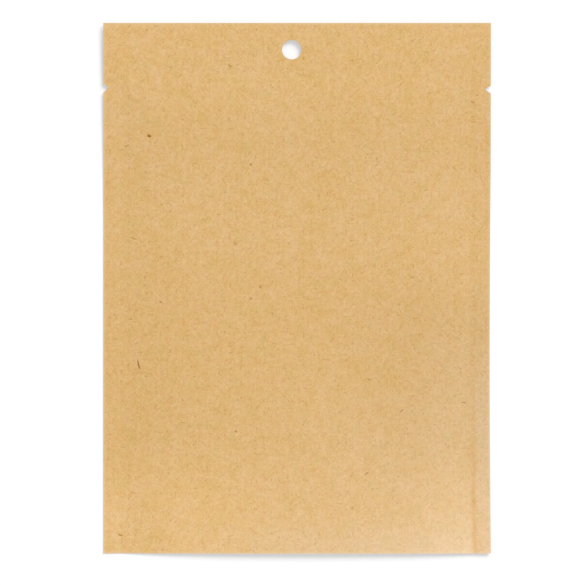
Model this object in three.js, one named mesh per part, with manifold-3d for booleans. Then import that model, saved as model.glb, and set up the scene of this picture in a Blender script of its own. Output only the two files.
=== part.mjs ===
// Flat kraft-paper pouch: two laminated plies heat-sealed along the header and both sides.
// The foot is the open filling mouth. The pouch lies on its back, as an empty one comes to rest:
// X runs across it, Y runs up to the header and Z points out of the front. Millimetres.
import * as THREE from 'three';
import { mergeVertices } from 'three/addons/utils/BufferGeometryUtils.js';
import Module from 'manifold-3d';

const { clamp, lerp, smoothstep } = THREE.MathUtils;

// Outline
const pouchWidth = 160;
const pouchHeight = 219;
const trimBow = 0.4;
const trimBowLength = 158;

// Laminate and seals
const plyThickness = 0.15;
const sideSealWidth = 7;
const headerSealHeight = 20;
const sealCreaseWidth = 0.8;

// Clear height between the plies
const restingAir = 0.12;
const panelLoft = 0.45;
const loftShoulder = 24;
const mouthGape = 1.7;
const mouthReach = 46;

// Both plies off the table: the top bends up and runs on straight, and the lower right corner curls
const topLift = 1.9;
const topLiftReach = 86;
const topBendLength = 32;
const cornerCurl = 1.3;
const cornerReachAcross = 90;
const cornerReachUp = 70;

// Hang hole
const hangHoleDiameter = 8;
const hangHoleDrop = 11;
const hangHoleShift = -2.2;

// Tear notches: how far each would cut in to a sharp tip, how much of that is rounded off, how tall
// it is at the edge, how far its middle is below the top, and how far its tip is above its middle
const tearNotches = [
  { side: -1, depth: 2.45, rounding: 0.8, height: 3.5, drop: 26.8, tipRise: 0.15 },
  { side: 1, depth: 2.95, rounding: 0.9, height: 3.0, drop: 27.5, tipRise: 0.25 },
];

// Facets
const panelColumns = 20;
const panelRows = 28;
const headerRows = 4;
const holeSides = 48;
const cutClearance = 4;

const kraftBrown = '#dab27a';
const kraftRoughness = 0.8;

const halfWidth = pouchWidth / 2;
const halfHeight = pouchHeight / 2;
const panelLeft = -halfWidth + sideSealWidth;
const panelTop = halfHeight - headerSealHeight;
const sealThickness = 2 * plyThickness;

const wasm = await Module();
wasm.setup();

// The right edge is trimmed very slightly hollow over its lower part.
function rightEdge(y) {
  const along = clamp((y + halfHeight) / trimBowLength, 0, 1);
  return halfWidth - trimBow * Math.sin(Math.PI * along);
}

function panelRight(y) {
  return rightEdge(y) - sideSealWidth;
}

// Rise of the top above the table: a gentle bend, then straight up to the edge.
function topRise(y) {
  const along = Math.max(0, y - halfHeight + topLiftReach);
  const bent = Math.min(along, topBendLength);
  const slope = topLift / (topLiftReach - topBendLength / 2);
  return slope * (bent / topBendLength) * (along - bent / 2);
}

// Height of the underside above the table.
function underside(x, y) {
  const corner = Math.max(0, 1 + (x - halfWidth) / cornerReachAcross - (y + halfHeight) / cornerReachUp);
  return topRise(y) + cornerCurl * corner ** 2;
}

// Clear height between the plies. Outside the panel it runs out over the width of the seal's crease.
function airBetween(x, y) {
  const inset = Math.min(x - panelLeft, panelRight(y) - x, panelTop - y);
  if (inset < 0) {
    return restingAir * Math.max(0, 1 + inset / sealCreaseWidth);
  }
  const loft = panelLoft * smoothstep(inset, 0, loftShoulder);
  const across = (x - panelLeft) / (panelRight(y) - panelLeft);
  const mouth = Math.max(0, 1 - (y + halfHeight) / mouthReach);
  return restingAir + loft + mouthGape * Math.sin(Math.PI * across) * mouth ** 2;
}

function frontFace(x, y) {
  return underside(x, y) + sealThickness + airBetween(x, y);
}

function evenSteps(from, to, count) {
  return Array.from({ length: count + 1 }, (_, step) => lerp(from, to, step / count));
}

// Stations across the pouch at one height: edge, crease, panel, crease, edge.
function outerColumns(y) {
  const right = panelRight(y);
  return [
    -halfWidth,
    panelLeft - sealCreaseWidth,
    ...evenSteps(panelLeft, right, panelColumns),
    right + sealCreaseWidth,
    rightEdge(y),
  ];
}

function cavityColumns(y) {
  return evenSteps(panelLeft, panelRight(y), panelColumns);
}

// A closed solid over a grid of stations, between a low and a high surface.
function layeredSolid(columnsAt, rows, low, high) {
  const columnCount = columnsAt(0).length - 1;
  const rowCount = rows.length - 1;
  const block = new THREE.BoxGeometry(columnCount, rowCount, 1, columnCount, rowCount, 1);
  block.deleteAttribute('normal');
  block.deleteAttribute('uv');
  const geometry = mergeVertices(block);
  const points = geometry.getAttribute('position');
  for (let index = 0; index < points.count; index += 1) {
    const y = rows[Math.round(points.getY(index) + rowCount / 2)];
    const x = columnsAt(y)[Math.round(points.getX(index) + columnCount / 2)];
    const surface = points.getZ(index) < 0 ? low : high;
    points.setXYZ(index, x, y, surface(x, y));
  }
  return toSolid(geometry);
}

function toSolid(geometry) {
  const mesh = new wasm.Mesh({
    numProp: 3,
    vertProperties: new Float32Array(geometry.getAttribute('position').array),
    triVerts: new Uint32Array(geometry.index.array),
  });
  return new wasm.Manifold(mesh);
}

function toGeometry(solid) {
  const mesh = solid.getMesh();
  const geometry = new THREE.BufferGeometry();
  geometry.setAttribute('position', new THREE.BufferAttribute(mesh.vertProperties, mesh.numProp));
  geometry.setIndex(new THREE.BufferAttribute(mesh.triVerts, 1));
  return geometry;
}

// A punch of any three.js geometry, long enough to pass through the curled pouch.
function punch(geometry, x, y) {
  geometry.deleteAttribute('normal');
  geometry.deleteAttribute('uv');
  geometry.translate(x, y, 0);
  return toSolid(mergeVertices(geometry));
}

function punchLength() {
  return 2 * (topLift + cornerCurl + sealThickness + restingAir + panelLoft + mouthGape + cutClearance);
}

function outerBody() {
  const panel = evenSteps(-halfHeight, panelTop, panelRows);
  const header = evenSteps(panelTop + sealCreaseWidth, halfHeight, headerRows);
  return layeredSolid(outerColumns, [...panel, ...header], underside, frontFace);
}

// The space between the plies, run out past the foot so that the mouth is open.
function cavity() {
  const rows = [-halfHeight - cutClearance, ...evenSteps(-halfHeight, panelTop, panelRows)];
  const floor = (x, y) => underside(x, y) + plyThickness;
  const ceiling = (x, y) => floor(x, y) + airBetween(x, y);
  return layeredSolid(cavityColumns, rows, floor, ceiling);
}

function hangHole() {
  const radius = hangHoleDiameter / 2;
  const drill = new THREE.CylinderGeometry(radius, radius, punchLength(), holeSides);
  drill.rotateX(Math.PI / 2);
  return punch(drill, hangHoleShift, halfHeight - hangHoleDrop);
}

// A small wedge with a rounded tip, its flanks run on a little outside the edge.
function tearNotch({ side, depth, rounding, height, drop, tipRise }) {
  const flank = (inset, end) => new THREE.Vector2(-side * inset, lerp(end, tipRise, inset / depth));
  const [lowerEnd, upperEnd] = [-height / 2, height / 2];
  const tip = flank(depth, 0);
  const upperTurn = flank(depth - rounding, upperEnd);
  const wedge = new THREE.Shape();
  wedge.setFromPoints([flank(-cutClearance, lowerEnd), flank(depth - rounding, lowerEnd)]);
  wedge.quadraticCurveTo(tip.x, tip.y, upperTurn.x, upperTurn.y);
  const outside = flank(-cutClearance, upperEnd);
  wedge.lineTo(outside.x, outside.y);
  wedge.closePath();
  const length = punchLength();
  const cutter = new THREE.ExtrudeGeometry(wedge, { depth: length, bevelEnabled: false, curveSegments: 8 });
  cutter.translate(0, 0, -length / 2);
  const y = halfHeight - drop;
  const edge = side < 0 ? -halfWidth : rightEdge(y);
  return punch(cutter, edge, y);
}

function buildPouch() {
  let solid = outerBody().subtract(cavity()).subtract(hangHole());
  for (const notch of tearNotches) {
    solid = solid.subtract(tearNotch(notch));
  }
  const kraft = new THREE.MeshStandardMaterial({
    color: kraftBrown,
    roughness: kraftRoughness,
    metalness: 0,
  });
  const pouch = new THREE.Mesh(toGeometry(solid), kraft);
  pouch.name = 'pouch';
  return pouch;
}

const part = new THREE.Group();
part.add(buildPouch());

export default part;
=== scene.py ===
"""Makes a flat kraft paper pouch, lying on its back in a small white studio."""

import math
from collections import namedtuple

import bpy
import numpy as np
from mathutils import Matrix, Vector, noise


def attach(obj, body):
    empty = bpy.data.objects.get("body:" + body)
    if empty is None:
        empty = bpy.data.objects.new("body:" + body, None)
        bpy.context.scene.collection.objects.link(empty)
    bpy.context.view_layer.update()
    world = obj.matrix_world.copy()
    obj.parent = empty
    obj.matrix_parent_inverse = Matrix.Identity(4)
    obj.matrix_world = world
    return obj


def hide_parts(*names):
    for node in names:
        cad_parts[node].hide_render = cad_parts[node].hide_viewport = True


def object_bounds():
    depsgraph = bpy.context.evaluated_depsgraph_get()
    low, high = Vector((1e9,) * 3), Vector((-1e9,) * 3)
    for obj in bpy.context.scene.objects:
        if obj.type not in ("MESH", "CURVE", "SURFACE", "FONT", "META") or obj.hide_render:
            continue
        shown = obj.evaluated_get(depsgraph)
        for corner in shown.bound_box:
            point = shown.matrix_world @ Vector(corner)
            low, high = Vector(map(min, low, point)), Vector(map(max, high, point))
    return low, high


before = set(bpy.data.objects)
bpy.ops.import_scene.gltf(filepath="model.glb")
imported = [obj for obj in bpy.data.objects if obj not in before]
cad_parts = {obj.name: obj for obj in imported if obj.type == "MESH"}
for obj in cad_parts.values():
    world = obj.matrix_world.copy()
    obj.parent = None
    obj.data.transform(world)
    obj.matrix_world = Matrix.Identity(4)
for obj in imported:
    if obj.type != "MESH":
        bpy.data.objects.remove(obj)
cad_low, cad_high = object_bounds()

bl_info = {
    "name": "Flat Kraft Pouch",
    "version": (1, 0, 0),
    "blender": (4, 5, 0),
    "location": "View3D > Sidebar > Pouch",
    "description": "Makes a flat kraft paper pouch and the white studio it lies in",
    "category": "Object",
}

MM = 0.001
POUCH_NODE = "pouch"
POUCH_PIECE = "kraft_pouch"
WHITE = (1.0, 1.0, 1.0)

# Spacing of the sheet's stations, and the collar of cells round the hang hole
PANEL_STEP = 2.0 * MM
STRIP_STEP = 0.9 * MM
CREASE_STEP = 0.4 * MM
NOTCH_STEP = 0.25 * MM
CREASE_WIDTH = 0.8 * MM
FINE_MARGIN = 4.0 * MM
BELOW_NOTCHES, ABOVE_NOTCHES = 2.0 * MM, 1.0 * MM
COLLAR = 6.0 * MM
COLLAR_CELLS = 12
COLLAR_RINGS = (0.25, 0.5, 0.72, 0.88, 1.0)
COLLAR_FIRST_TURN = math.radians(225)
ROUNDING_SLACK = 1e-6

# A turn between two faces that is sharper than this shows as an edge
SHARP_ANGLE = math.radians(40)

# Waves of the whole sheet, flutter of its side edges, and slow and quick waves of the front ply:
# how far apart the bumps are, where in the noise they start, and how wide a band they fade over
WAVE_REACH, WAVE_SEED = 38 * MM, 3.7
FLUTTER_REACH, FLUTTER_SEED, FLUTTER_BAND = 31 * MM, 8.1, 16 * MM
FRONT_WAVE_REACH, FRONT_WAVE_SEED, FRONT_WAVE_SHOULDER = 24 * MM, 1.3, 18 * MM
FRONT_RIPPLE_REACH, FRONT_RIPPLE_SEED = 9 * MM, 5.9

# How far the flutter is drawn out across the sheet, how high the quick waves are beside the slow
# ones, and how far both are let down, as a share of the ripple's height
FLUTTER_STRETCH = 5
FRONT_RIPPLE_SHARE = 0.4
FRONT_WAVE_SINK = 0.4

# The right notch is cut deeper and slimmer than the left one, whose sizes are the defaults
RIGHT_NOTCH = {
    "depth": 2.95 * MM,
    "rounding": 0.9 * MM,
    "height": 3.0 * MM,
    "drop": 27.5 * MM,
    "tip_rise": 0.25 * MM,
}

# Blotches of the pulp: size in millimetres, detail and share
GRAIN = ((1.7, 1.0, 0.46), (0.8, 1.0, 0.48))
CLOUDS = ((26.0, 2.0, 0.37), (7.0, 1.0, 0.5), (4.0, 0.0, 0.42))

# Noise in the surfaces: size of its blotches in millimetres, detail, and the film's distortion
ROSY_BLOTCHES = (3.2, 1.0)
STRAW_BLOTCHES = (6.0, 1.0)
PAPER_RELIEF = (0.9, 3.0)
PAPER_SHINE = (3.0, 3.0)
SEAL_WOBBLE = (9.0, 2.0)
SEAL_PATCHES = (9.0, 3.0)
FILM_CLOUDS = (5.0, 3.0)
FILM_WRINKLES = (4.0, 4.0, 0.6)
CUT_FUZZ = (0.7, 3.0)

# How strongly each surface shows its relief, and how far the paper's roughness strays
PAPER_BUMP, FILM_BUMP, CUT_BUMP = 0.6, 0.3, 0.5
SHINE_SPREAD = 0.03

# A soft ramp: where it starts and ends, and what it goes from and to
Ramp = namedtuple("Ramp", "start end low high", defaults=(0.0, 1.0))

# Ramps up the sheet and across it, in millimetres from its middle
# Painted light and shade: a lighter header and lower left foot, and a darker band across the lower
# middle towards the right
HEADER_PAINTED_LIGHT = Ramp(62.0, 112.0, 1.0, 1.045)
FOOT_PAINTED_LIGHT_UP, FOOT_PAINTED_LIGHT_ACROSS = Ramp(-95.0, -55.0, 0.06, 0.0), Ramp(-55.0, 15.0, 1.0, -0.2)
PAINTED_SHADE_MIDDLE, PAINTED_SHADE_UP, PAINTED_SHADE_ACROSS = -40.0, Ramp(15.0, 60.0, 0.08, 0.0), Ramp(0.0, 80.0)
TOAST_MIDDLE, TOAST_UP = -36.0, Ramp(22.0, 66.0, 1.0, 0.0)
TOAST_ACROSS = Ramp(50.0, 74.0, 1.0, 0.0)
# Painted sheen along the mouth and up the right seal, near the foot
MOUTH_SHEEN_UP, MOUTH_SHEEN_ACROSS = Ramp(-108.0, -91.0, 0.087, 0.0), Ramp(-60.0, 20.0)
SEAL_SHEEN_UP, SEAL_SHEEN_AT_FOOT = Ramp(-60.0, -20.0, 0.075, 0.0), Ramp(-100.0, -75.0, 0.56, 1.0)
# Painted shade in the right seal's crease, growing towards the foot
SEAL_SHADE_UP = Ramp(-98.0, -50.0, 0.95, 0.24)

# Ramps away from the right seal's line and from the cut edge, in millimetres
MOUTH_SHEEN_OFF_SEAL = Ramp(-3.0, 1.0, 1.0, 0.0)
SEAL_SHEEN_OFF_LINE = Ramp(0.5, 2.5)
SEAL_SHADE_FADE = Ramp(0.2, 1.6, 1.0, 0.0)
RUB_OFF_EDGE = Ramp(0.2, 1.2, 0.3, 0.0)

# Ramps over noise, and the film's line, by how far it is off the middle of the stack
BLOTCH_SHOWN = Ramp(0.45, 0.75)
PATCH_SHOWN = Ramp(0.35, 0.65, 0.45, 1.0)
FILM_CLOUD_SHOWN = Ramp(0.2, 0.8, 0.0, 0.25)
FUZZ_SHOWN = Ramp(0.3, 0.7, 0.0, 0.5)
FILM_LINE_SHOWN = Ramp(0.08, 0.2, 0.7, 0.0)

# Scattered fibres: colour, size of their cells, length and width in millimetres, bend, how many
# cells have one, where the pattern starts, and strength
FibreLayer = namedtuple("FibreLayer", "colour cell length width bend density seed strength")
FIBRES = (
    FibreLayer("pale_fibre", 1.2, 1.4, 0.45, 0.4, 0.8, 1.0, 0.38),
    FibreLayer("dark_tint", 1.6, 1.7, 0.45, 0.4, 0.7, 2.0, 0.27),
    FibreLayer("rusty_tint", 2.4, 2.2, 0.95, 0.3, 0.7, 8.0, 0.12),
    FibreLayer("pale_fibre", 2.2, 2.5, 0.45, 0.2, 0.7, 3.0, 0.42),
    FibreLayer("dark_tint", 2.8, 2.7, 0.45, 0.2, 0.6, 4.0, 0.30),
    FibreLayer("rusty_tint", 4.0, 3.6, 1.4, 0.15, 0.6, 9.0, 0.58),
    FibreLayer("pale_fibre", 5.2, 4.6, 0.50, 0.1, 0.4, 5.0, 0.36),
    FibreLayer("dark_tint", 5.0, 1.8, 0.55, 0.1, 0.4, 6.0, 0.42),
    FibreLayer("dark_tint", 6.5, 0.9, 0.75, 0.0, 0.35, 7.0, 0.50),
)

# The back ply comes from another stretch of the paper web, this far along and across it
BACK_PLY_OFFSET = (430.0, 215.0, 0.0)

# How far each layer of scattered fibres is moved for every step of its seed, how short and long
# its fibres get beside the layer's length, and how wildly their bends differ
SEED_SHIFT = (137.0, 59.0, 0.0)
FIBRE_LENGTHS = Ramp(0.0, 1.0, 0.45, 1.3)
BEND_VARIETY = 40.0

# Shares of a fibre's half length and half width over which it is at its full strength
FULL_LENGTH, FULL_WIDTH = 0.45, 0.2

# Dark bits of bark and long fibres that show in the front ply: middle, length and width in
# millimetres, turn in degrees, bend and strength
Shive = namedtuple("Shive", "x y length width turn bend strength")
SHIVES = (
    Shive(-61.1, 62.9, 2.2, 1.65, -18, 0.0, 0.94),
    Shive(-65.5, -31.6, 5.0, 0.84, -77, 0.03, 1.0),
    Shive(-70.3, 58.8, 3.1, 0.52, 24, 0.0, 0.75),
    Shive(-67.5, 20.6, 3.8, 0.58, -21, -0.03, 0.56),
    Shive(28.7, -76.5, 2.3, 0.86, 39, 0.0, 0.64),
    Shive(-73.0, -102.0, 2.6, 0.86, -16, 0.0, 0.78),
    Shive(-25.6, 18.5, 1.9, 1.1, -68, 0.0, 0.54),
    Shive(-27.8, 91.9, 1.9, 0.94, -44, 0.0, 0.64),
    Shive(-25.3, -59.1, 1.5, 1.1, -33, 0.0, 0.68),
    Shive(-68.8, -12.7, 1.6, 1.25, 24, 0.0, 0.42),
    Shive(-19.1, 51.1, 1.5, 1.06, -31, 0.0, 0.66),
    Shive(-56.3, -5.7, 1.5, 0.94, -4, 0.0, 0.68),
    Shive(43.2, -50.7, 1.8, 0.86, 51, 0.0, 0.7),
    Shive(22.9, -90.9, 1.7, 0.76, 77, 0.0, 0.54),
    Shive(-19.0, -4.2, 1.3, 1.04, -28, 0.0, 0.66),
    Shive(-15.2, 0.5, 1.3, 1.04, -74, 0.0, 0.6),
    Shive(68.8, -47.2, 2.6, 0.66, -4, 0.0, 0.6),
    Shive(29.9, -37.6, 1.9, 0.9, -3, 0.0, 0.46),
    Shive(72.4, 76.9, 1.8, 1.08, -16, 0.0, 0.54),
    Shive(-64.8, -26.4, 2.9, 0.56, 4, 0.0, 0.38),
    Shive(-55.7, -34.3, 2.9, 0.52, 40, 0.0, 0.3),
    Shive(-28.1, 70.0, 1.3, 0.86, 15, 0.0, 0.48),
    Shive(-7.9, 100.3, 3.2, 0.6, 72, 0.02, 0.34),
)

# Half the side of the square floor, and the point that the kicker is turned to
FLOOR_HALF = 4.0
KICKER_AIM = (0.06, -0.09, 0.0)


def linear(red, green, blue):
    """A colour as it is picked on screen, 0 to 255, turned into Blender's linear numbers."""
    shares = (channel / 255 for channel in (red, green, blue))
    return tuple(s / 12.92 if s <= 0.04045 else ((s + 0.055) / 1.055) ** 2.4 for s in shares)


def length_property(name, description, default):
    """A size in metres, shown in the scene's own length unit."""
    return bpy.props.FloatProperty(
        name=name, description=description, default=default, unit="LENGTH", precision=5
    )


def colour_property(name, description, *default):
    """A colour, given as it is picked on screen."""
    return bpy.props.FloatVectorProperty(
        name=name,
        description=description,
        default=linear(*default),
        subtype="COLOR",
        min=0.0,
        max=1.0,
    )


def share_property(name, description, default):
    """A share between 0 and 1."""
    return bpy.props.FloatProperty(
        name=name, description=description, default=default, subtype="FACTOR", min=0.0, max=1.0
    )


def strength_property(name, description, default):
    """A strength with no upper end."""
    return bpy.props.FloatProperty(name=name, description=description, default=default, min=0.0)


def angle_property(name, description, degrees):
    """An angle, given in degrees."""
    return bpy.props.FloatProperty(
        name=name, description=description, default=math.radians(degrees), subtype="ANGLE"
    )


def place_property(name, description, default):
    """A place in metres."""
    return bpy.props.FloatVectorProperty(
        name=name,
        description=description,
        default=default,
        size=len(default),
        subtype="TRANSLATION",
        unit="LENGTH",
    )


class TearNotch(bpy.types.PropertyGroup):
    """A small V cut into a side seal, where the pouch is torn open"""

    depth: length_property("Depth", "How far it would cut in to a sharp tip", 2.45 * MM)
    rounding: length_property("Rounding", "How much of that is rounded off", 0.8 * MM)
    height: length_property("Height", "How tall the notch is at the edge", 3.5 * MM)
    drop: length_property("Drop", "How far its middle is below the top edge", 26.8 * MM)
    tip_rise: length_property("Tip rise", "How far its tip is above its middle", 0.15 * MM)


class PouchSizes(bpy.types.PropertyGroup):
    """Sizes of the pouch and of the way it lies"""

    width: length_property("Width", "Side to side, over the seals", cad_high.x - cad_low.x)
    height: length_property("Height", "Foot to top, over the header", cad_high.y - cad_low.y)
    ply: length_property("Ply", "Thickness of one ply of paper and film", 0.15 * MM)
    side_seal: length_property("Side seal", "Width of each side seal", 7 * MM)
    header_seal: length_property("Header seal", "Height of the sealed header", 20 * MM)
    seal_press: length_property("Seal press", "Depth of the line the bar leaves", 0.01 * MM)
    seal_press_width: length_property("Seal press width", "Half the width of it", 0.6 * MM)
    trim_bow: length_property("Trim bow", "How hollow the right edge is trimmed", 0.4 * MM)
    trim_bow_length: length_property("Trim bow length", "How far up the hollow runs", 158 * MM)
    resting_gap: length_property("Resting gap", "Clear height just inside the seals", 0.12 * MM)
    resting_shoulder: length_property("Resting shoulder", "Width over which it opens", 7 * MM)
    panel_loft: length_property("Panel loft", "How much more the front ply rises", 0.45 * MM)
    loft_shoulder: length_property("Loft shoulder", "Width over which it rises", 24 * MM)
    mouth_gape: length_property("Mouth gape", "How far the open foot gapes", 1.7 * MM)
    mouth_reach: length_property("Mouth reach", "How far up the gape runs out", 46 * MM)
    top_lift: length_property("Top lift", "Height of the top edge above the table", 1.9 * MM)
    top_reach: length_property("Top reach", "How far down the lift starts", 86 * MM)
    top_bend: length_property("Top bend", "Length of the bend it starts with", 32 * MM)
    corner_curl: length_property("Corner curl", "Lift of the lower right corner", 1.3 * MM)
    corner_across: length_property("Corner curl width", "How far across it starts", 90 * MM)
    corner_up: length_property("Corner curl height", "How far up it starts", 70 * MM)
    ripple: length_property("Ripple", "Height of the slow waves in the paper", 0.06 * MM)
    flutter: length_property("Edge flutter", "How far the side edges leave the table", 0.22 * MM)
    hole: length_property("Hang hole", "Diameter of the hang hole", 8 * MM)
    hole_drop: length_property("Hole drop", "Its middle below the top edge", 11 * MM)
    hole_shift: length_property("Hole shift", "Its middle right of the centre line", -2.2 * MM)
    left_notch: bpy.props.PointerProperty(type=TearNotch, name="Left notch")
    right_notch: bpy.props.PointerProperty(type=TearNotch, name="Right notch")


class PaperFinish(bpy.types.PropertyGroup):
    """Colours and surface of the laminate"""

    deep: colour_property("Deep pulp", "The darkest grains of the pulp", 212, 169, 117)
    light: colour_property("Light pulp", "The lightest grains of the pulp", 244, 208, 157)
    warm_tint: colour_property("Warm tint", "Tint of the denser clouds of pulp", 246, 238, 194)
    rosy_tint: colour_property("Rosy tint", "Tint where the pulp is redder", 255, 251, 250)
    straw_tint: colour_property("Straw tint", "Tint where it is yellower", 251, 255, 250)
    pale_fibre: colour_property("Pale fibres", "Fibres that lie on top", 244, 204, 155)
    rusty_tint: colour_property("Rusty tint", "Tint of resinous fibres", 255, 245, 221)
    toast_tint: colour_property("Toast tint", "Tint of the warmer stretch", 252, 250, 243)
    dark_tint: colour_property("Dark tint", "Tint of deep fibres and bits of bark", 176, 144, 0)
    # The colour of the painted shade in the right seal's crease
    seal_shade_tint: colour_property("Seal line", "Tint where the bar warmed it", 247, 236, 194)
    rub: colour_property("Rubbed edge", "Paper lightened by handling", 237, 212, 174)
    film: colour_property("Inner film", "The sealing film inside", 236, 232, 224)
    core: colour_property("Cut edge", "The paper where it is cut", 222, 186, 134)
    roughness: share_property("Roughness", "Roughness of the lacquered paper", 0.35)
    gloss: share_property("Gloss", "Strength of its reflections", 0.12)
    film_roughness: share_property("Film roughness", "Roughness of the inner film", 0.32)
    cut_roughness: share_property("Cut edge roughness", "Roughness of the cut edge", 0.85)
    grain: length_property("Grain height", "Height of the fibres in the surface", 0.012 * MM)
    wrinkle: length_property("Wrinkle height", "Height of the film's wrinkles", 0.05 * MM)
    fuzz: length_property("Fuzz height", "Height of the fuzz on the cut edge", 0.03 * MM)


class StudioSettings(bpy.types.PropertyGroup):
    """Floor, lamps and camera"""

    floor: share_property("Floor", "How pale the floor is", 0.62)
    floor_lift: strength_property("Floor lift", "Added where the camera sees the floor", 0.43)
    sky: strength_property("Sky", "Strength of the even light all round", 0.42)
    key: strength_property("Key lamp", "Strength of the broad lamp at the upper right", 2.55)
    key_turn: angle_property("Key turn", "Turn of the key lamp", 55)
    key_rise: angle_property("Key rise", "Height of the key lamp", 42)
    key_softness: angle_property("Key softness", "Spread of the key lamp", 36)
    kicker: strength_property("Kicker", "Watts of the lamp whose sheen shows at the foot", 11.5)
    kicker_place: place_property("Kicker place", "Where the kicker stands", (0.155, -0.26, 0.46))
    kicker_size: length_property("Kicker size", "Side of the kicker's square face", 0.078)
    lens: bpy.props.FloatProperty(
        name="Lens", description="Focal length in millimetres", default=180.0
    )
    view_width: length_property("View width", "Width that the camera takes in", 241.7 * MM)
    view_shift: place_property("View middle", "Middle of the view", (-1.88 * MM, -1.74 * MM))


# --- Shape of the pouch ---


def smooth_ramp(value, start, end):
    """0 before start, 1 after end, and a soft S between."""
    share = np.clip((value - start) / (end - start), 0.0, 1.0)
    return share * share * (3.0 - 2.0 * share)


def slow_noise(x, y, reach, seed):
    """Gentle noise between 0 and 1 whose bumps are about one reach apart."""
    flat = zip(np.ravel(x) / reach, np.ravel(y) / reach)
    values = [0.5 + 0.5 * noise.noise(Vector((u, v, seed))) for u, v in flat]
    return np.array(values).reshape(np.shape(x))


class LyingPouch:
    """Where every point of the pouch is as it lies on its back."""

    def __init__(self, sizes):
        self.sizes = sizes
        self.half_width = sizes.width / 2
        self.half_height = sizes.height / 2
        self.panel_left = sizes.side_seal - self.half_width
        self.panel_top = self.half_height - sizes.header_seal
        self.hole_middle = (sizes.hole_shift, self.half_height - sizes.hole_drop)

    def trim_bow(self, y):
        along = np.clip((y + self.half_height) / self.sizes.trim_bow_length, 0.0, 1.0)
        return self.sizes.trim_bow * np.sin(np.pi * along)

    def right_edge(self, y):
        return self.half_width - self.trim_bow(y)

    def panel_right(self, y):
        return self.right_edge(y) - self.sizes.side_seal

    def notch_depth(self, notch, y):
        """How far a tear notch cuts in at height y: a V whose tip is a short parabola."""
        offset = y - (self.half_height - notch.drop + notch.tip_rise)
        upper, lower = notch.height / 2 - notch.tip_rise, notch.height / 2 + notch.tip_rise
        flank = np.where(offset > 0, upper, lower)
        share = np.abs(offset) / flank
        tip = notch.rounding / notch.depth
        straight = notch.depth * (1 - share)
        rounded = notch.depth - notch.rounding * (1 + (share / tip) ** 2) / 2
        return np.maximum(0.0, np.where(share > tip, straight, rounded))

    def seal_inset(self, x, y):
        """Distance inward from the nearest seal line, negative on the seals."""
        sides = np.minimum(x - self.panel_left, self.panel_right(y) - x)
        return np.minimum(sides, self.panel_top - y)

    def edge_inset(self, x, y):
        """Distance inward from the nearest cut edge."""
        sides = np.minimum(x + self.half_width, self.right_edge(y) - x)
        ends = np.minimum(y + self.half_height, self.half_height - y)
        return np.minimum(sides, ends)

    def top_rise(self, y):
        """A gentle bend, then straight up to the top edge."""
        s = self.sizes
        along = np.maximum(0.0, y - self.half_height + s.top_reach)
        bent = np.minimum(along, s.top_bend)
        slope = s.top_lift / (s.top_reach - s.top_bend / 2)
        return slope * bent / s.top_bend * (along - bent / 2)

    def underside(self, x, y):
        """The back ply's outside, which the pouch lies on."""
        s = self.sizes
        across = (x - self.half_width) / s.corner_across
        corner = np.maximum(0.0, 1 + across - (y + self.half_height) / s.corner_up)
        curl = self.top_rise(y) + s.corner_curl * corner**2
        waves = s.ripple * slow_noise(x, y, WAVE_REACH, WAVE_SEED)
        near_side = 1 - smooth_ramp(self.half_width - np.abs(x), 0.0, FLUTTER_BAND)
        flutter = slow_noise(x / FLUTTER_STRETCH, y, FLUTTER_REACH, FLUTTER_SEED)
        return curl + waves + s.flutter * near_side**2 * flutter

    def gap(self, x, y):
        """Clear height between the plies. It closes to nothing at the seal lines."""
        s = self.sizes
        inset = self.seal_inset(x, y)
        loft = s.panel_loft * smooth_ramp(inset, 0.0, s.loft_shoulder)
        across = (x - self.panel_left) / (self.panel_right(y) - self.panel_left)
        mouth = np.maximum(0.0, 1 - (y + self.half_height) / s.mouth_reach)
        gape = s.mouth_gape * np.sin(np.pi * np.clip(across, 0.0, 1.0)) * mouth**2
        slow = slow_noise(x, y, FRONT_WAVE_REACH, FRONT_WAVE_SEED)
        quick = slow_noise(x, y, FRONT_RIPPLE_REACH, FRONT_RIPPLE_SEED)
        both = slow + FRONT_RIPPLE_SHARE * quick - FRONT_WAVE_SINK
        waves = s.ripple * both * smooth_ramp(inset, 0.0, FRONT_WAVE_SHOULDER)
        rise = s.resting_gap * smooth_ramp(inset, 0.0, s.resting_shoulder)
        return np.where(inset > 0, rise + loft + gape + waves, 0.0)

    def front(self, x, y):
        """The front ply's outside, with the line that the sealing bar presses in it."""
        s = self.sizes
        pressed = s.seal_press * np.exp(-((self.seal_inset(x, y) / s.seal_press_width) ** 2))
        return self.underside(x, y) + 2 * s.ply + self.gap(x, y) - pressed


def stations(stops):
    """Places along the sheet. Each stop is (place, widest step up to the next stop)."""
    places = []
    for (start, step), (end, _) in zip(stops, stops[1:]):
        count = max(1, math.ceil((end - start) / step - ROUNDING_SLACK))
        places.extend(np.linspace(start, end, count, endpoint=False))
    places.append(stops[-1][0])
    return np.array(places)


def column_stations(pouch):
    """Places of the columns, closer together at the seals' inner edges."""
    edge, seal = pouch.half_width, -pouch.panel_left
    middle = pouch.hole_middle[0]
    cell = 2 * COLLAR / COLLAR_CELLS
    return stations(
        [
            (-edge, STRIP_STEP),
            (-seal - CREASE_WIDTH, CREASE_STEP),
            (-seal, CREASE_STEP),
            (-seal + FINE_MARGIN, PANEL_STEP),
            (middle - COLLAR, cell),
            (middle + COLLAR, PANEL_STEP),
            (seal - FINE_MARGIN, CREASE_STEP),
            (seal, CREASE_STEP),
            (seal + CREASE_WIDTH, STRIP_STEP),
            (edge, STRIP_STEP),
        ]
    )


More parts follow.
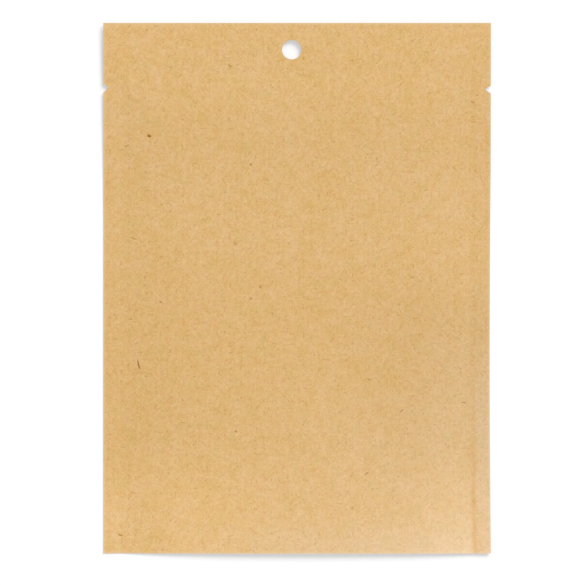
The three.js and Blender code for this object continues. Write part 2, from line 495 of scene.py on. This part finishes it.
def row_stations(pouch):
    """Places of the rows, closer together at the notches and the header's lower edge."""
    top, seal = pouch.half_height, pouch.panel_top
    middle = pouch.hole_middle[1]
    cell = 2 * COLLAR / COLLAR_CELLS
    cuts = []
    for notch in (pouch.sizes.left_notch, pouch.sizes.right_notch):
        reaches = (-notch.height / 2, notch.tip_rise, notch.height / 2)
        cuts.extend(top - notch.drop + reach for reach in reaches)
    cuts.sort()
    return stations(
        [
            (-top, STRIP_STEP),
            (-top + FINE_MARGIN, PANEL_STEP),
            (cuts[0] - BELOW_NOTCHES, 2 * NOTCH_STEP),
            *((cut, NOTCH_STEP) for cut in cuts),
            (cuts[-1] + ABOVE_NOTCHES, 2 * CREASE_STEP),
            (seal, CREASE_STEP),
            (seal + CREASE_WIDTH, STRIP_STEP),
            (middle - COLLAR, cell),
            (middle + COLLAR, STRIP_STEP),
            (top, STRIP_STEP),
        ]
    )


class SheetPlan:
    """The flat pattern of every layer: cells fitted to the outline, with the hang hole in them."""

    def __init__(self, pouch):
        self.pouch = pouch
        self.columns = column_stations(pouch)
        self.rows = row_stations(pouch)
        self.points = []
        self.cells = []
        self.vertex = {}
        self.lay_grid()
        self.rim = self.lay_collar()
        self.outline = self.outline_loop()
        self.points = np.array(self.points)

    def fitted(self, x, y):
        """Moves a grid point to fit the hollow right edge and the two notches."""
        pouch = self.pouch
        seal = -pouch.panel_left
        if x > 0:
            x -= pouch.trim_bow(y) * min(1.0, x / seal)
        if x < pouch.panel_left:
            share = (pouch.panel_left - x) / pouch.sizes.side_seal
            return x + share * pouch.notch_depth(pouch.sizes.left_notch, y)
        right = pouch.panel_right(y)
        if x > right:
            share = (x - right) / pouch.sizes.side_seal
            return x - share * pouch.notch_depth(pouch.sizes.right_notch, y)
        return x

    def collar_cells(self):
        """The first and last column and row of the square of cells that the hang hole takes."""
        x, y = self.pouch.hole_middle
        left = int(np.argmin(np.abs(self.columns - (x - COLLAR))))
        low = int(np.argmin(np.abs(self.rows - (y - COLLAR))))
        return left, left + COLLAR_CELLS, low, low + COLLAR_CELLS

    def lay_grid(self):
        left, right, low, high = self.collar_cells()
        for j, y in enumerate(self.rows):
            for i, x in enumerate(self.columns):
                if left < i < right and low < j < high:
                    continue
                self.vertex[i, j] = len(self.points)
                self.points.append((self.fitted(x, y), y))
        for j in range(len(self.rows) - 1):
            for i in range(len(self.columns) - 1):
                if left <= i < right and low <= j < high:
                    continue
                corners = ((i, j), (i + 1, j), (i + 1, j + 1), (i, j + 1))
                self.cells.append([self.vertex[corner] for corner in corners])

    def lay_collar(self):
        """Rings of cells from the square round the hang hole in to its rim, which is returned."""
        left, right, low, high = self.collar_cells()
        steps = range(COLLAR_CELLS)
        square = [self.vertex[left + n, low] for n in steps]
        square += [self.vertex[right, low + n] for n in steps]
        square += [self.vertex[right - n, high] for n in steps]
        square += [self.vertex[left, high - n] for n in steps]
        middle = np.array(self.pouch.hole_middle)
        radius = self.pouch.sizes.hole / 2
        corners = [np.array(self.points[v]) for v in square]
        outer = square
        for share in COLLAR_RINGS:
            inner = []
            for n, corner in enumerate(corners):
                turn = COLLAR_FIRST_TURN + math.tau * n / len(corners)
                rim = middle + radius * np.array((math.cos(turn), math.sin(turn)))
                inner.append(len(self.points))
                self.points.append(tuple(corner + share * (rim - corner)))
            for n, corner in enumerate(outer):
                following = (n + 1) % len(outer)
                self.cells.append([corner, outer[following], inner[following], inner[n]])
            outer = inner
        return outer

    def outline_loop(self):
        """Grid places along the cut edge, anticlockwise from the lower left corner."""
        last_column, last_row = len(self.columns) - 1, len(self.rows) - 1
        places = [(i, 0) for i in range(last_column)]
        places += [(last_column, j) for j in range(last_row)]
        places += [(i, last_row) for i in range(last_column, 0, -1)]
        places += [(0, j) for j in range(last_row, 0, -1)]
        return places

    def cavity_span(self):
        """The first and last column and the last row of the space between the plies."""
        pouch = self.pouch
        first = int(np.argmin(np.abs(self.columns - pouch.panel_left)))
        last = int(np.argmin(np.abs(self.columns + pouch.panel_left)))
        top = int(np.argmin(np.abs(self.rows - pouch.panel_top)))
        return first, last, top


# Material slots of the pouch's faces, and the depth in the stack that each vertex stores
PAPER, FILM, CUT = range(3)
BACK_DEPTH, FILM_DEPTH, FRONT_DEPTH = 0.0, 0.5, 1.0


class PouchMesh:
    """Two plies, sealed round three sides, as one closed skin."""

    def __init__(self, pouch):
        self.pouch = pouch
        self.plan = SheetPlan(pouch)
        self.vertices = []
        self.faces = []
        self.finishes = []
        x, y = self.plan.points.T
        self.front = self.add_layer(x, y, pouch.front(x, y))
        self.back = self.add_layer(x, y, pouch.underside(x, y))
        self.add_plies()
        self.add_cavity()
        self.add_cut_edges()

    def add_layer(self, x, y, z):
        start = len(self.vertices)
        self.vertices.extend(zip(x, y, z))
        return np.arange(start, len(self.vertices))

    def add_face(self, vertices, finish):
        self.faces.append([int(v) for v in vertices])
        self.finishes.append(finish)

    def add_plies(self):
        for cell in self.plan.cells:
            self.add_face(self.front[cell], PAPER)
            self.add_face(self.back[cell[::-1]], PAPER)

    def add_cavity(self):
        """The film inside both plies. Along the seals the two share their vertices."""
        first, last, top = self.plan.cavity_span()
        places = [(i, j) for j in range(top + 1) for i in range(first, last + 1)]
        x, y = self.plan.points[[self.plan.vertex[place] for place in places]].T
        film = self.pouch.underside(x, y) + self.pouch.sizes.ply
        floor = self.add_layer(x, y, film)
        welded = [i in (first, last) or j == top for i, j in places]
        loose = ~np.array(welded)
        ceiling = self.add_layer(x[loose], y[loose], (film + self.pouch.gap(x, y))[loose])
        self.floor = dict(zip(places, floor))
        self.ceiling = dict(self.floor)
        self.ceiling.update(zip([place for place, free in zip(places, loose) if free], ceiling))
        for j in range(top):
            for i in range(first, last):
                corners = ((i, j), (i + 1, j), (i + 1, j + 1), (i, j + 1))
                self.add_face([self.floor[corner] for corner in corners], FILM)
                self.add_face([self.ceiling[corner] for corner in reversed(corners)], FILM)

    def add_cut_edges(self):
        first, last, _ = self.plan.cavity_span()
        outline = self.plan.outline
        for place, following in zip(outline, outline[1:] + outline[:1]):
            a, b = self.plan.vertex[place], self.plan.vertex[following]
            if place[1] == 0 and following[1] == 0 and first <= place[0] < last:
                front = (self.ceiling[place], self.ceiling[following], self.front[b], self.front[a])
                back = (self.back[a], self.back[b], self.floor[following], self.floor[place])
                self.add_face(front, CUT)
                self.add_face(back, CUT)
                continue
            wall = [self.back[a], self.back[b], self.front[b], self.front[a]]
            if following == (first, 0):
                wall.insert(2, self.floor[following])
            elif place == (last, 0):
                wall.append(self.floor[place])
            self.add_face(wall, CUT)
        rim = self.plan.rim
        for a, b in zip(rim, rim[1:] + rim[:1]):
            self.add_face((self.front[a], self.front[b], self.back[b], self.back[a]), CUT)

    def depth_in_stack(self):
        depth = np.full(len(self.vertices), FILM_DEPTH)
        depth[self.front] = FRONT_DEPTH
        depth[self.back] = BACK_DEPTH
        return depth

    def to_object(self, name):
        mesh = bpy.data.meshes.new(name)
        mesh.from_pydata(self.vertices, [], self.faces)
        mesh.polygons.foreach_set("material_index", self.finishes)
        x, y, _ = np.array(self.vertices).T
        pouch = self.pouch
        set_values(mesh, "stack_depth", self.depth_in_stack())
        set_values(mesh, "edge_inset", pouch.edge_inset(x, y) / MM)
        set_values(mesh, "right_seal", (x - pouch.panel_right(y)) / MM)
        mesh.shade_smooth()
        mesh.set_sharp_from_angle(angle=SHARP_ANGLE)
        mesh.validate()
        return add_object(name, mesh)


def add_object(name, data):
    added = bpy.data.objects.new(name, data)
    bpy.context.scene.collection.objects.link(added)
    return added


def set_values(mesh, name, values):
    """Stores one number at each vertex, for the materials to read."""
    attribute = mesh.attributes.new(name, "FLOAT", "POINT")
    attribute.data.foreach_set("value", np.asarray(values, np.float32))


# --- Materials ---
# Places on the paper are in millimetres from the pouch's middle, x to the right and y to the top.


class NodeTree:
    """Adds nodes to a tree, each with its settings and inputs in one call."""

    def __init__(self, tree):
        self.tree = tree
        tree.nodes.clear()

    def add(self, kind, inputs=None, **settings):
        node = self.tree.nodes.new(kind)
        for name, value in settings.items():
            setattr(node, name, value)
        for socket, value in (inputs or {}).items():
            self.feed(node.inputs[socket], value)
        return node

    def feed(self, socket, value):
        """Links or sets an input. Colours are given without their alpha."""
        if isinstance(value, bpy.types.NodeSocket):
            self.tree.links.new(value, socket)
        elif socket.type == "RGBA":
            socket.default_value = (*value, 1.0)
        else:
            socket.default_value = value

    def calc(self, operation, *values):
        """One Math node over numbers and sockets."""
        node = self.add("ShaderNodeMath", dict(enumerate(values)), operation=operation)
        return node.outputs[0]

    def product(self, *values):
        """All the values multiplied together."""
        total = values[0]
        for value in values[1:]:
            total = self.calc("MULTIPLY", total, value)
        return total

    def distance(self, value, middle):
        """How far the value is from the middle, on either side."""
        return self.calc("ABSOLUTE", self.calc("SUBTRACT", value, middle))

    def vector(self, operation, first, second):
        node = self.add("ShaderNodeVectorMath", {0: first, 1: second}, operation=operation)
        return node.outputs[0]

    def scaled(self, vector, factor):
        node = self.add("ShaderNodeVectorMath", {0: vector, "Scale": factor}, operation="SCALE")
        return node.outputs[0]

    def split(self, vector):
        return self.add("ShaderNodeSeparateXYZ", {0: vector}).outputs

    def ramp(self, value, start, end, low=0.0, high=1.0):
        """low before start, high after end, and a soft S between."""
        inputs = {0: value, 1: start, 2: end, 3: low, 4: high}
        return self.add("ShaderNodeMapRange", inputs, interpolation_type="SMOOTHSTEP").outputs[0]

    def blend(self, factor, first, second, blend_type="MIX"):
        first_colour, second_colour = 6, 7
        inputs = {0: factor, first_colour: first, second_colour: second}
        node = self.add("ShaderNodeMix", inputs, data_type="RGBA", blend_type=blend_type)
        return node.outputs[2]

    def noise(self, vector, size, detail, distortion=0.0):
        """Flat noise between 0 and 1 whose blotches are about one size across."""
        inputs = {"Vector": vector, "Scale": 1 / size, "Detail": detail, "Distortion": distortion}
        return self.add("ShaderNodeTexNoise", inputs, noise_dimensions="2D").outputs[0]

    def attribute(self, name):
        return self.add("ShaderNodeAttribute", attribute_name=name).outputs["Fac"]

    def group(self, group, **inputs):
        node = self.tree.nodes.new("ShaderNodeGroup")
        node.node_tree = group
        for name, value in inputs.items():
            self.feed(node.inputs[name.capitalize()], value)
        return node.outputs[0]


def new_group(name, inputs):
    """A node group that makes a Mask of a vector and the named numbers, its nodes and inputs."""
    group = bpy.data.node_groups.new(name, "ShaderNodeTree")
    group.interface.new_socket("Vector", in_out="INPUT", socket_type="NodeSocketVector")
    for socket in inputs:
        group.interface.new_socket(socket, in_out="INPUT", socket_type="NodeSocketFloat")
    group.interface.new_socket("Mask", in_out="OUTPUT", socket_type="NodeSocketFloat")
    nodes = NodeTree(group)
    return group, nodes, nodes.add("NodeGroupInput").outputs


def stroke_mask(nodes, offset, turn, length, width, bend):
    """A short bent stroke round the point where offset is nothing."""
    x, y = nodes.split(offset)[:2]
    cosine, sine = nodes.calc("COSINE", turn), nodes.calc("SINE", turn)
    along = nodes.calc("ADD", nodes.product(x, cosine), nodes.product(y, sine))
    across = nodes.calc("SUBTRACT", nodes.product(y, cosine), nodes.product(x, sine))
    bow = nodes.product(along, along, bend)
    off_middle, off_bow = nodes.calc("ABSOLUTE", along), nodes.distance(across, bow)
    half_length, half_width = nodes.product(length, 0.5), nodes.product(width, 0.5)
    ends = nodes.ramp(off_middle, nodes.product(half_length, FULL_LENGTH), half_length, 1.0, 0.0)
    sides = nodes.ramp(off_bow, nodes.product(half_width, FULL_WIDTH), half_width, 1.0, 0.0)
    return nodes.product(ends, sides)


def scattered_fibres_group():
    """Fibres strewn over the paper, one or none in each cell of a loose pattern."""
    inputs = ("Cell", "Length", "Width", "Bend", "Density", "Seed", "Strength")
    group, nodes, given = new_group("scattered_fibres", inputs)
    place = nodes.vector("ADD", given["Vector"], nodes.scaled(SEED_SHIFT, given["Seed"]))
    cells = nodes.add(
        "ShaderNodeTexVoronoi",
        {"Vector": place, "Scale": nodes.calc("DIVIDE", 1.0, given["Cell"])},
        voronoi_dimensions="2D",
        feature="F1",
    )
    offset = nodes.vector("SUBTRACT", place, cells.outputs["Position"])
    chance, reach, turn = nodes.split(cells.outputs["Color"])
    turn = nodes.product(turn, math.tau)
    length = nodes.product(given["Length"], nodes.ramp(reach, *FIBRE_LENGTHS))
    bend = nodes.product(given["Bend"], nodes.calc("SINE", nodes.product(reach, BEND_VARIETY)))
    stroke = stroke_mask(nodes, offset, turn, length, given["Width"], bend)
    rare = nodes.calc("SUBTRACT", 1.0, given["Density"])
    shown = nodes.ramp(chance, rare, 1.0)
    nodes.add("NodeGroupOutput", {0: nodes.product(stroke, shown, given["Strength"])})
    return group


def shive_group():
    """One shive at a given place."""
    group, nodes, given = new_group("shive", [field.capitalize() for field in Shive._fields])
    middle = nodes.add("ShaderNodeCombineXYZ", {0: given["X"], 1: given["Y"]})
    offset = nodes.vector("SUBTRACT", given["Vector"], middle.outputs[0])
    turn = nodes.calc("RADIANS", given["Turn"])
    stroke = stroke_mask(nodes, offset, turn, given["Length"], given["Width"], given["Bend"])
    nodes.add("NodeGroupOutput", {0: nodes.product(stroke, given["Strength"])})
    return group


def paper_place(nodes):
    """Millimetres over the paper. The back ply reads another stretch of it."""
    place = nodes.add("ShaderNodeTexCoord").outputs["Object"]
    place = nodes.scaled(place, 1.0 / MM)
    depth = nodes.attribute("stack_depth")
    back = nodes.calc("LESS_THAN", depth, (BACK_DEPTH + FILM_DEPTH) / 2)
    shift = nodes.scaled(BACK_PLY_OFFSET, back)
    return nodes.vector("ADD", place, shift)


def all_shives(nodes, place):
    """Every named shive, the darkest winning where two meet."""
    group = shive_group()
    mask = 0.0
    for shive in SHIVES:
        mask = nodes.calc("MAXIMUM", mask, nodes.group(group, vector=place, **shive._asdict()))
    return mask


def pulp_tone(nodes, place, layers):
    """Dark to light of the pulp, 0 to 1: blotches of several sizes, each with its share."""
    tone = 0.5
    for size, detail, share in layers:
        swing = nodes.calc("SUBTRACT", nodes.noise(place, size, detail), 0.5)
        tone = nodes.calc("MULTIPLY_ADD", swing, share, tone)
    return tone


def painted_light_drift(nodes, place):
    """Painted light and shade over the whole sheet, around 1: lighter at the header and the lower
    left foot, darker across the lower middle towards the right.
    """
    x, y = nodes.split(place)[:2]
    header = nodes.ramp(y, *HEADER_PAINTED_LIGHT)
    foot = nodes.product(nodes.ramp(y, *FOOT_PAINTED_LIGHT_UP), nodes.ramp(x, *FOOT_PAINTED_LIGHT_ACROSS))
    painted_shade = nodes.ramp(nodes.distance(y, PAINTED_SHADE_MIDDLE), *PAINTED_SHADE_UP)
    painted_shade = nodes.product(painted_shade, nodes.ramp(x, *PAINTED_SHADE_ACROSS))
    return nodes.calc("SUBTRACT", nodes.calc("ADD", header, foot), painted_shade)


def toasted(nodes, place):
    """Where the web is warmer in colour: a broad band across the lower middle."""
    x, y = nodes.split(place)[:2]
    band = nodes.ramp(nodes.distance(y, TOAST_MIDDLE), *TOAST_UP)
    return nodes.product(band, nodes.ramp(x, *TOAST_ACROSS))


def painted_sheen(nodes, place):
    """How much painted sheen pales the paper: along the mouth and on the right seal, low down."""
    x, y = nodes.split(place)[:2]
    across = nodes.attribute("right_seal")
    mouth = nodes.product(
        nodes.ramp(y, *MOUTH_SHEEN_UP),
        nodes.ramp(x, *MOUTH_SHEEN_ACROSS),
        nodes.ramp(across, *MOUTH_SHEEN_OFF_SEAL),
    )
    strip = nodes.product(
        nodes.ramp(y, *SEAL_SHEEN_UP),
        nodes.ramp(y, *SEAL_SHEEN_AT_FOOT),
        nodes.ramp(across, *SEAL_SHEEN_OFF_LINE),
    )
    return nodes.calc("ADD", mouth, strip)


def seal_crease_shade(nodes, place):
    """Painted shade in the crease that the sealing bar presses up the right seal, strongest near
    the foot.
    """
    y = nodes.split(place)[1]
    across = nodes.attribute("right_seal")
    wobble = nodes.calc("SUBTRACT", nodes.noise(place, *SEAL_WOBBLE), 0.5)
    off_line = nodes.calc("ABSOLUTE", nodes.calc("ADD", across, wobble))
    line = nodes.ramp(off_line, *SEAL_SHADE_FADE)
    growth = nodes.ramp(y, *SEAL_SHADE_UP)
    patchy = nodes.ramp(nodes.noise(place, *SEAL_PATCHES), *PATCH_SHOWN)
    return nodes.product(line, growth, patchy)


def new_material(name):
    """An empty material, and the nodes to fill it with."""
    material = bpy.data.materials.new(name)
    material.use_nodes = True
    return material, NodeTree(material.node_tree)


def add_surface(nodes, inputs, relief, strength, height):
    """Ends a material in a surface with a fine relief of the given height."""
    bump = nodes.add("ShaderNodeBump", {"Height": relief, "Strength": strength, "Distance": height})
    shader = nodes.add("ShaderNodeBsdfPrincipled", {**inputs, "Normal": bump.outputs[0]})
    nodes.add("ShaderNodeOutputMaterial", {0: shader.outputs[0]})


def kraft_material(finish):
    """Unbleached paper: mottled pulp, pale and dark fibres, bits of bark, painted shade in the
    seal's crease, painted light and sheen.
    """
    material, nodes = new_material("kraft_paper")
    place = paper_place(nodes)
    fibres = scattered_fibres_group()

    grain = pulp_tone(nodes, place, GRAIN)
    colour = nodes.blend(grain, finish.deep, finish.light)
    clouds = nodes.blend(pulp_tone(nodes, place, CLOUDS), finish.warm_tint, WHITE)
    colour = nodes.blend(1.0, colour, clouds, "MULTIPLY")
    rosy = nodes.ramp(nodes.noise(place, *ROSY_BLOTCHES), *BLOTCH_SHOWN)
    colour = nodes.blend(rosy, colour, finish.rosy_tint, "MULTIPLY")
    straw = nodes.noise(nodes.scaled(place, -1.0), *STRAW_BLOTCHES)
    straw = nodes.ramp(straw, *BLOTCH_SHOWN)
    colour = nodes.blend(straw, colour, finish.straw_tint, "MULTIPLY")

    # A tint darkens the paper under it, and a pale fibre covers it
    for layer in FIBRES:
        numbers = layer._asdict()
        name = numbers.pop("colour")
        mask = nodes.group(fibres, vector=place, **numbers)
        blend_type = "MULTIPLY" if name.endswith("tint") else "MIX"
        colour = nodes.blend(mask, colour, getattr(finish, name), blend_type)
    shives = all_shives(nodes, place)
    colour = nodes.blend(shives, colour, finish.dark_tint, "MULTIPLY")

    # Painted shade along the right seal's crease, where less sheen falls
    colour = nodes.blend(seal_crease_shade(nodes, place), colour, finish.seal_shade_tint, "MULTIPLY")
    # Painted light and shade: lighter at the header and lower left foot, darker across the lower
    # middle towards the right
    colour = nodes.blend(1.0, colour, painted_light_drift(nodes, place), "MULTIPLY")
    colour = nodes.blend(toasted(nodes, place), colour, finish.toast_tint, "MULTIPLY")
    # Painted sheen: the paper pales towards the film's colour along the mouth and low on the right
    # seal
    colour = nodes.blend(painted_sheen(nodes, place), colour, finish.film)
    rubbed = nodes.ramp(nodes.attribute("edge_inset"), *RUB_OFF_EDGE)
    colour = nodes.blend(rubbed, colour, finish.rub)

    smoothest, roughest = finish.roughness - SHINE_SPREAD, finish.roughness + SHINE_SPREAD
    shine = nodes.ramp(nodes.noise(place, *PAPER_SHINE), 0.0, 1.0, smoothest, roughest)
    inputs = {"Base Color": colour, "Roughness": shine, "Specular IOR Level": finish.gloss}
    add_surface(nodes, inputs, nodes.noise(place, *PAPER_RELIEF), PAPER_BUMP, finish.grain)
    return material


def film_material(finish):
    """The pale sealing film inside, soft and slightly cloudy."""
    material, nodes = new_material("inner_film")
    place = paper_place(nodes)
    cloud = nodes.ramp(nodes.noise(place, *FILM_CLOUDS), *FILM_CLOUD_SHOWN)
    colour = nodes.blend(cloud, finish.film, finish.rub)
    inputs = {"Base Color": colour, "Roughness": finish.film_roughness}
    add_surface(nodes, inputs, nodes.noise(place, *FILM_WRINKLES), FILM_BUMP, finish.wrinkle)
    return material


def cut_edge_material(finish):
    """The cut edge: paper outside, and a pale line of film where the two plies meet."""
    material, nodes = new_material("cut_edge")
    place = paper_place(nodes)
    off_film = nodes.distance(nodes.attribute("stack_depth"), FILM_DEPTH)
    film_line = nodes.ramp(off_film, *FILM_LINE_SHOWN)
    fuzz = nodes.ramp(nodes.noise(place, *CUT_FUZZ), *FUZZ_SHOWN)
    colour = nodes.blend(fuzz, finish.core, finish.pale_fibre)
    colour = nodes.blend(film_line, colour, finish.film)
    inputs = {"Base Color": colour, "Roughness": finish.cut_roughness}
    add_surface(nodes, inputs, fuzz, CUT_BUMP, finish.fuzz)
    return material


# --- Studio ---


def seen_directly(nodes):
    """1 where the camera sees it, straight or mirrored, and 0 where it only lights the pouch."""
    path = nodes.add("ShaderNodeLightPath").outputs
    seen = nodes.calc("MAXIMUM", path["Is Camera Ray"], path["Is Glossy Ray"])
    return nodes.calc("MAXIMUM", seen, path["Is Transmission Ray"])


def floor_material(studio):
    material, nodes = new_material("white_floor")
    paint = nodes.add("ShaderNodeBsdfDiffuse", {"Color": (studio.floor,) * 3})
    lift = nodes.product(seen_directly(nodes), studio.floor_lift)
    glow = nodes.add("ShaderNodeEmission", {"Strength": lift})
    both = nodes.add("ShaderNodeAddShader", {0: paint.outputs[0], 1: glow.outputs[0]})
    nodes.add("ShaderNodeOutputMaterial", {0: both.outputs[0]})
    return material


def make_floor(studio):
    turns = ((-1, -1), (1, -1), (1, 1), (-1, 1))
    corners = [(x * FLOOR_HALF, y * FLOOR_HALF, 0.0) for x, y in turns]
    mesh = bpy.data.meshes.new("floor")
    mesh.from_pydata(corners, [], [(0, 1, 2, 3)])
    mesh.materials.append(floor_material(studio))
    floor = add_object("floor", mesh)


def make_sky(studio):
    world = bpy.data.worlds.new("white_room")
    world.use_nodes = True
    nodes = NodeTree(world.node_tree)
    strength = nodes.ramp(seen_directly(nodes), 0.0, 1.0, studio.sky, 1.0)
    sky = nodes.add("ShaderNodeBackground", {"Color": WHITE, "Strength": strength})
    nodes.add("ShaderNodeOutputWorld", {0: sky.outputs[0]})
    bpy.context.scene.world = world


def place_lamp(name, data, place, target):
    lamp = add_object(name, data)
    lamp.location = place
    lamp.rotation_euler = (Vector(target) - Vector(place)).to_track_quat("-Z", "Y").to_euler()
    return lamp


def make_lamps(studio):
    key = bpy.data.lights.new("key_lamp", "SUN")
    key.energy = studio.key
    key.angle = studio.key_softness
    level = math.cos(studio.key_rise)
    towards = (
        level * math.cos(studio.key_turn),
        level * math.sin(studio.key_turn),
        math.sin(studio.key_rise),
    )
    place_lamp("key_lamp", key, towards, (0, 0, 0))
    kicker = bpy.data.lights.new("kicker", "AREA")
    kicker.energy = studio.kicker
    kicker.size = studio.kicker_size
    place_lamp("kicker", kicker, studio.kicker_place, KICKER_AIM).visible_diffuse = False


def make_camera(studio):
    camera_data = bpy.data.cameras.new("camera")
    camera_data.lens = studio.lens
    camera_data.clip_start = 0.01
    camera = add_object("camera", camera_data)
    distance = studio.view_width * studio.lens / camera_data.sensor_width

    # The paper that fills most of the view lies about this high
    mean_front_height = cad_high.z / 4
    camera.location = (*studio.view_shift, distance + mean_front_height)
    bpy.context.scene.camera = camera


# --- Operators, panel and registration ---


class POUCH_OT_make_pouch(bpy.types.Operator):
    """Make the kraft pouch in the place of its plain solid"""

    bl_idname = "pouch.make_pouch"
    bl_label = "Make pouch"

    def execute(self, context):
        scene = context.scene
        pouch = LyingPouch(scene.pouch_sizes)
        piece = PouchMesh(pouch).to_object(POUCH_PIECE)
        for make in (kraft_material, film_material, cut_edge_material):
            piece.data.materials.append(make(scene.paper_finish))
        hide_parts(POUCH_NODE)
        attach(piece, "root")
        return {"FINISHED"}


class POUCH_OT_make_studio(bpy.types.Operator):
    """Make the white floor, the sky, the lamps and the camera above the pouch"""

    bl_idname = "pouch.make_studio"
    bl_label = "Make studio"

    def execute(self, context):
        studio = context.scene.studio
        make_floor(studio)
        make_sky(studio)
        make_lamps(studio)
        make_camera(studio)
        context.scene.view_settings.view_transform = "Standard"
        return {"FINISHED"}


class VIEW3D_PT_kraft_pouch(bpy.types.Panel):
    """Buttons and sizes of the kraft pouch"""

    bl_idname = "VIEW3D_PT_kraft_pouch"
    bl_label = "Kraft pouch"
    bl_space_type = "VIEW_3D"
    bl_region_type = "UI"
    bl_category = "Pouch"

    def draw(self, context):
        scene = context.scene
        layout = self.layout
        layout.operator(POUCH_OT_make_pouch.bl_idname)
        layout.operator(POUCH_OT_make_studio.bl_idname)
        for title, settings in (
            ("Sizes", scene.pouch_sizes),
            ("Left notch", scene.pouch_sizes.left_notch),
            ("Right notch", scene.pouch_sizes.right_notch),
            ("Paper", scene.paper_finish),
            ("Studio", scene.studio),
        ):
            box = layout.box()
            box.label(text=title)
            for name in settings.__annotations__:
                if name not in ("left_notch", "right_notch"):
                    box.prop(settings, name)


CLASSES = (
    TearNotch,
    PouchSizes,
    PaperFinish,
    StudioSettings,
    POUCH_OT_make_pouch,
    POUCH_OT_make_studio,
    VIEW3D_PT_kraft_pouch,
)


def register():
    for cls in CLASSES:
        bpy.utils.register_class(cls)
    bpy.types.Scene.pouch_sizes = bpy.props.PointerProperty(type=PouchSizes)
    bpy.types.Scene.paper_finish = bpy.props.PointerProperty(type=PaperFinish)
    bpy.types.Scene.studio = bpy.props.PointerProperty(type=StudioSettings)


def unregister():
    del bpy.types.Scene.pouch_sizes
    del bpy.types.Scene.paper_finish
    del bpy.types.Scene.studio
    for cls in reversed(CLASSES):
        bpy.utils.unregister_class(cls)


def main():
    register()
    right_notch = bpy.context.scene.pouch_sizes.right_notch
    for name, value in RIGHT_NOTCH.items():
        setattr(right_notch, name, value)
    bpy.ops.pouch.make_pouch()
    bpy.ops.pouch.make_studio()


if __name__ == "__main__":
    main()
